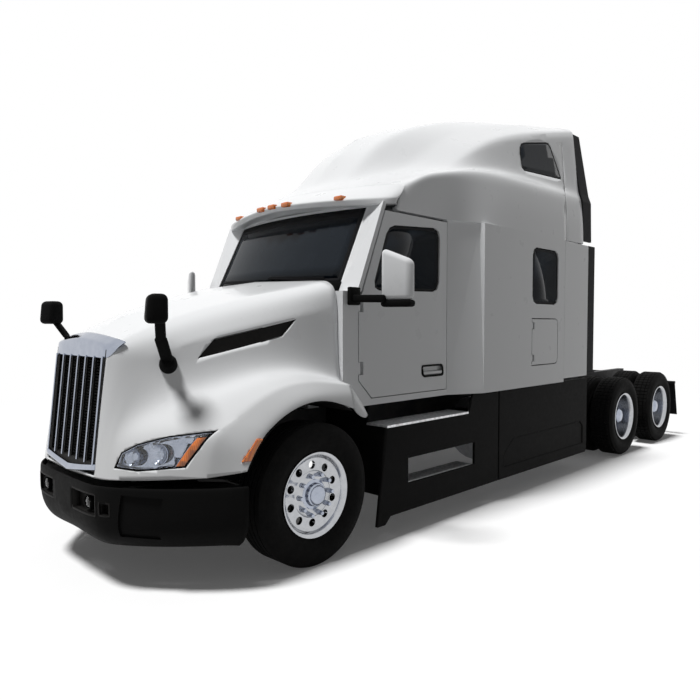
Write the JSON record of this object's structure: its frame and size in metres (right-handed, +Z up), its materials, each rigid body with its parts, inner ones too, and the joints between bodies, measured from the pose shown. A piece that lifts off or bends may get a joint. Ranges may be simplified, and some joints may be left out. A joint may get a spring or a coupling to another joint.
{
  "type": "semi truck tractor unit",
  "caption": "Bonneted highway tractor unit with a high-roof sleeper, tilting hood, hinged doors and hatches, steered front wheels, twin drive wheels and a tilting fifth wheel.",
  "frame": {"origin": "bottom centre of the overall box, on the ground between front bumper and mud flaps", "axes": "+X forward, +Y to the driver's side (left), +Z up"},
  "size_m": [8.71, 2.98, 4.045],
  "materials": {
    "white_paint": "gloss",
    "black_plastic": "satin",
    "rubber": "matte",
    "frame_black": "satin",
    "engine_metal": "matte",
    "aluminium": "polished",
    "tyre": "matte",
    "chrome": "polished",
    "dark_mesh": "matte",
    "glass": "clear",
    "lamp_clear": "clear",
    "lamp_amber": "gloss",
    "lamp_red": "gloss",
    "interior": "matte",
    "seat_fabric": "matte"
  },
  "bodies": {
    "chassis": {"chassis_frame": "frame_black", "engine": "engine_metal", "radiator": "engine_metal", "front_axle": "frame_black", "drive_axles": "frame_black", "suspension": "frame_black", "fuel_tanks": "aluminium", "side_fairings": "black_plastic", "step_treads": "aluminium", "splash_panels": "black_plastic", "fifth_wheel_base": "frame_black", "mud_flaps": "rubber", "deck_plate": "frame_black", "front_bumper": "black_plastic", "cab_floor": "white_paint", "cab_front": "white_paint", "sleeper_sides": "white_paint", "sleeper_back": "white_paint", "side_extenders": "white_paint", "roof_cap": "white_paint", "fixed_glass": "glass", "extender_edges": "rubber", "sun_visor": "white_paint", "dashboard": "interior", "seats": "seat_fabric", "steering_wheel": "interior", "main_mirrors": "black_plastic", "marker_lamps": "lamp_amber", "tail_lamps": "lamp_red"},
    "hood": {"hood": "white_paint", "grille": "chrome", "hood_mesh": "dark_mesh", "hood_lamps": "lamp_clear", "hood_mirrors": "black_plastic"},
    "door_left": {"door_left": "white_paint", "door_glass_left": "glass"},
    "door_right": {"door_right": "white_paint", "door_glass_right": "glass"},
    "luggage_door_left": {"luggage_door_left": "white_paint"},
    "luggage_door_right": {"luggage_door_right": "white_paint"},
    "knuckle_left": {"knuckle_left": "frame_black"},
    "knuckle_right": {"knuckle_right": "frame_black"},
    "tie_rod": {"tie_rod": "frame_black"},
    "front_wheel_left": {"front_tyre_left": "tyre", "front_wheel_left": "aluminium"},
    "front_wheel_right": {"front_tyre_right": "tyre", "front_wheel_right": "aluminium"},
    "fifth_wheel": {"fifth_wheel_plate": "frame_black"},
    "drive1_left": {"drive1_tyres_left": "tyre", "drive1_wheel_left": "aluminium"},
    "drive1_right": {"drive1_tyres_right": "tyre", "drive1_wheel_right": "aluminium"},
    "drive2_left": {"drive2_tyres_left": "tyre", "drive2_wheel_left": "aluminium"},
    "drive2_right": {"drive2_tyres_right": "tyre", "drive2_wheel_right": "aluminium"}
  },
  "joints": [
    {"name": "hood_tilt", "type": "hinge", "parent": "chassis", "child": "hood", "pos_m": [4.255, 0, 0.715], "axis": [0, 1, 0], "range_deg": [0, 70]},
    {"name": "door_left_hinge", "type": "hinge", "parent": "chassis", "child": "door_left", "pos_m": [2.537, 1.03, 1.6], "axis": [0, 0, -1], "range_deg": [0, 60]},
    {"name": "door_right_hinge", "type": "hinge", "parent": "chassis", "child": "door_right", "pos_m": [2.537, -1.03, 1.6], "axis": [0, 0, 1], "range_deg": [0, 60]},
    {"name": "luggage_left_hinge", "type": "hinge", "parent": "chassis", "child": "luggage_door_left", "pos_m": [0.165, 1.19, 1.5], "axis": [0, 0, -1], "range_deg": [0, 90]},
    {"name": "luggage_right_hinge", "type": "hinge", "parent": "chassis", "child": "luggage_door_right", "pos_m": [0.165, -1.19, 1.5], "axis": [0, 0, 1], "range_deg": [0, 90]},
    {"name": "steer_left", "type": "hinge", "parent": "chassis", "child": "knuckle_left", "pos_m": [3.065, 0.85, 0.5], "axis": [0, 0, 1], "range_deg": [-35, 35]},
    {"name": "steer_right", "type": "hinge", "parent": "chassis", "child": "knuckle_right", "pos_m": [3.065, -0.85, 0.5], "axis": [0, 0, 1], "range_deg": [-36, 36]},
    {"name": "tie_rod_pivot", "type": "hinge", "parent": "knuckle_left", "child": "tie_rod", "pos_m": [2.815, 0.85, 0.412], "axis": [0, 0, 1], "range_deg": [-36, 36]},
    {"name": "front_left_spin", "type": "hinge", "parent": "knuckle_left", "child": "front_wheel_left", "pos_m": [3.065, 1.005, 0.5], "axis": [0, 1, 0], "continuous": true},
    {"name": "front_right_spin", "type": "hinge", "parent": "knuckle_right", "child": "front_wheel_right", "pos_m": [3.065, -1.005, 0.5], "axis": [0, 1, 0], "continuous": true},
    {"name": "fifth_wheel_tilt", "type": "hinge", "parent": "chassis", "child": "fifth_wheel", "pos_m": [-2.685, 0, 1.1], "axis": [0, 1, 0], "range_deg": [-12, 12]},
    {"name": "drive1_left_spin", "type": "hinge", "parent": "chassis", "child": "drive1_left", "pos_m": [-2.275, 0.91, 0.5], "axis": [0, 1, 0], "continuous": true},
    {"name": "drive1_right_spin", "type": "hinge", "parent": "chassis", "child": "drive1_right", "pos_m": [-2.275, -0.91, 0.5], "axis": [0, 1, 0], "continuous": true},
    {"name": "drive2_left_spin", "type": "hinge", "parent": "chassis", "child": "drive2_left", "pos_m": [-3.595, 0.91, 0.5], "axis": [0, 1, 0], "continuous": true},
    {"name": "drive2_right_spin", "type": "hinge", "parent": "chassis", "child": "drive2_right", "pos_m": [-3.595, -0.91, 0.5], "axis": [0, 1, 0], "continuous": true}
  ],
  "couplings": [
    {"joint": "steer_right", "follows": "steer_left", "ratio": 1},
    {"joint": "tie_rod_pivot", "follows": "steer_left", "ratio": -1}
  ]
}
